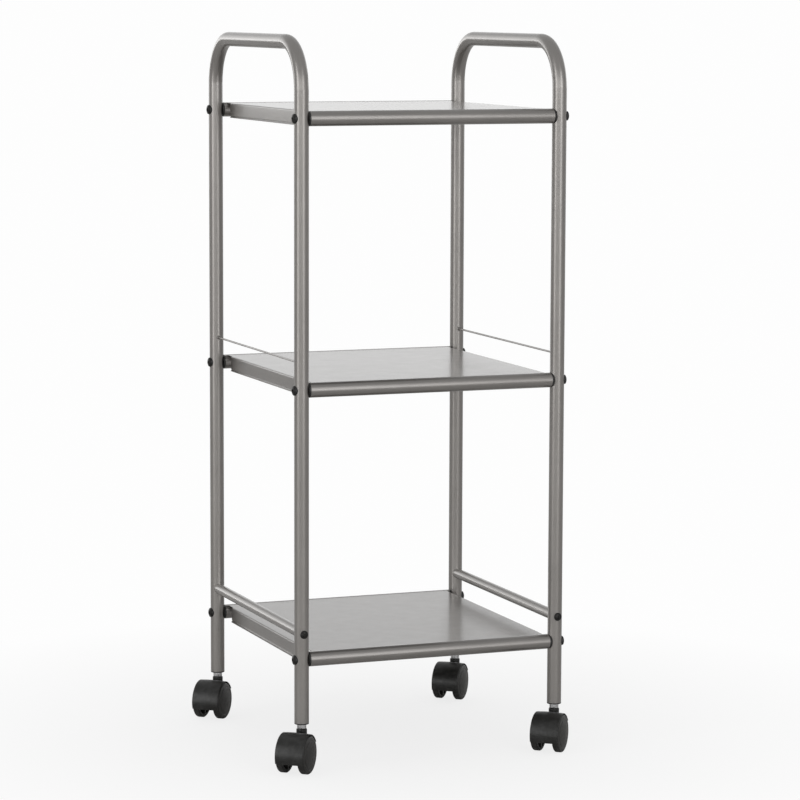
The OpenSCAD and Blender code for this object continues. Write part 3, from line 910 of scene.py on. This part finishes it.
def floor():
    """A round pale floor. It shows soft shadows near the cart, and fades to plain white further out."""
    radius = 40
    thickness = 0.01
    outline = [(0, FLOOR_Z - thickness), (radius, FLOOR_Z - thickness), (radius, FLOOR_Z), (0, FLOOR_Z)]
    disc = as_object(revolve(outline, steps=48))
    disc.name = "floor"
    n = Nodes("floor")
    seen = n.add("ShaderNodeLightPath").outputs["Is Camera Ray"]
    colour = n.mix(seen, (0.66, 0.65, 0.64), (0.92, 0.92, 0.92))  # darker to the cart than to the camera
    n.set(Base_Color=colour, Roughness=0.9, Specular_IOR_Level=0.1)
    away = n.add("ShaderNodeVectorMath", operation="LENGTH")
    n.put(away.inputs[0], n.place)
    fade = n.remap(away.outputs["Value"], FADE_START, FADE_END, FLOOR_LIFT, 1.0)
    white = n.add("ShaderNodeEmission", {"Color": (1, 1, 1, 1), "Strength": FLOOR_WHITE})
    blend = n.add("ShaderNodeMixShader", {"Fac": n.sums(fade, seen, "MULTIPLY")})
    n.put(blend.inputs[1], n.surface.outputs["BSDF"])
    n.put(blend.inputs[2], white.outputs["Emission"])
    n.put(n.tree.nodes["Material Output"].inputs["Surface"], blend.outputs["Shader"])
    disc.data.materials.append(n.material)


def softbox(azimuth, elevation, brightness):
    """An evenly bright panel that faces the cart. Azimuth is round from the camera, to its right."""
    distance, width, height = 3.5, 1.0, 3.6
    a, e = math.radians(azimuth), math.radians(elevation)
    near = Vector((-AHEAD.x, -AHEAD.y, 0)).normalized()
    out = (near * math.cos(a) + RIGHT * math.sin(a)) * math.cos(e) + Z_AXIS * math.sin(e)
    data = bpy.data.lights.new("softbox", "AREA")
    data.shape = "RECTANGLE"
    data.size = width
    data.size_y = height
    data.energy = brightness * math.pi * width * height
    made = bpy.data.objects.new("softbox", data)
    target = (cad_box[0] + cad_box[1]) / 2
    made.matrix_world = Matrix.Translation(target + out * distance) @ frame_turn(out, Z_AXIS.cross(out))
    made.visible_camera = False
    bpy.context.scene.collection.objects.link(made)


def surroundings():
    """A room that is brighter on some sides than on others. The camera sees plain white instead."""
    world = bpy.data.worlds.new("surroundings")
    bpy.context.scene.world = world
    world.use_nodes = True
    nodes, link = world.node_tree.nodes, world.node_tree.links.new
    direction = nodes.new("ShaderNodeTexCoord").outputs["Generated"]

    def along(axis):
        dot = nodes.new("ShaderNodeVectorMath")
        dot.operation = "DOT_PRODUCT"
        link(direction, dot.inputs[0])
        dot.inputs[1].default_value = axis
        return dot.outputs["Value"]

    def remap(value, low, high, smooth=False):
        node = nodes.new("ShaderNodeMapRange")
        node.interpolation_type = "SMOOTHSTEP" if smooth else "LINEAR"
        link(value, node.inputs["Value"])
        node.inputs["From Min"].default_value = low
        node.inputs["From Max"].default_value = high
        return node.outputs["Result"]

    bearing = nodes.new("ShaderNodeMath")
    bearing.operation = "ARCTAN2"
    link(along(RIGHT), bearing.inputs[0])
    link(along(Vector((-AHEAD.x, -AHEAD.y, 0)).normalized()), bearing.inputs[1])
    ramp = nodes.new("ShaderNodeValToRGB")
    brightest = max(value for _, value in ROOM)
    ramp.color_ramp.interpolation = "EASE"
    for k, (degrees, value) in enumerate(ROOM):
        place = (degrees + 180) / 360
        stops = ramp.color_ramp.elements
        stop = stops[0] if k == 0 else stops[-1] if k == len(ROOM) - 1 else stops.new(place)
        stop.position = place
        stop.color = (value / brightest,) * 3 + (1,)
    link(remap(bearing.outputs["Value"], -math.pi, math.pi), ramp.inputs["Fac"])
    mix = nodes.new("ShaderNodeMix")
    mix.data_type = "RGBA"
    link(remap(along(Z_AXIS), CEILING_START, CEILING_END, True), mix.inputs["Factor"])
    link(ramp.outputs["Color"], mix.inputs[COLOUR_A])
    mix.inputs[COLOUR_B].default_value = (CEILING / brightest,) * 3 + (1,)
    room = nodes.new("ShaderNodeBackground")
    link(mix.outputs[COLOUR_OUT], room.inputs["Color"])
    glow = nodes.new("ShaderNodeMath")
    glow.operation = "MULTIPLY_ADD"
    link(remap(along(Z_AXIS), 0, GLOW_END), glow.inputs[0])
    glow.inputs[1].default_value = -HORIZON_GLOW * brightest
    glow.inputs[2].default_value = (1 + HORIZON_GLOW) * brightest
    link(glow.outputs["Value"], room.inputs["Strength"])
    plain = nodes["Background"]
    plain.inputs["Color"].default_value = (FLOOR_WHITE,) * 3 + (1,)
    choose = nodes.new("ShaderNodeMixShader")
    link(nodes.new("ShaderNodeLightPath").outputs["Is Camera Ray"], choose.inputs["Fac"])
    link(room.outputs["Background"], choose.inputs[1])
    link(plain.outputs["Background"], choose.inputs[2])
    link(choose.outputs["Shader"], nodes["World Output"].inputs["Surface"])


camera()
floor()
surroundings()
softbox(azimuth=-54, elevation=8, brightness=1.9)
softbox(azimuth=35, elevation=10, brightness=1.6)
bpy.context.scene.view_settings.view_transform = "Standard"
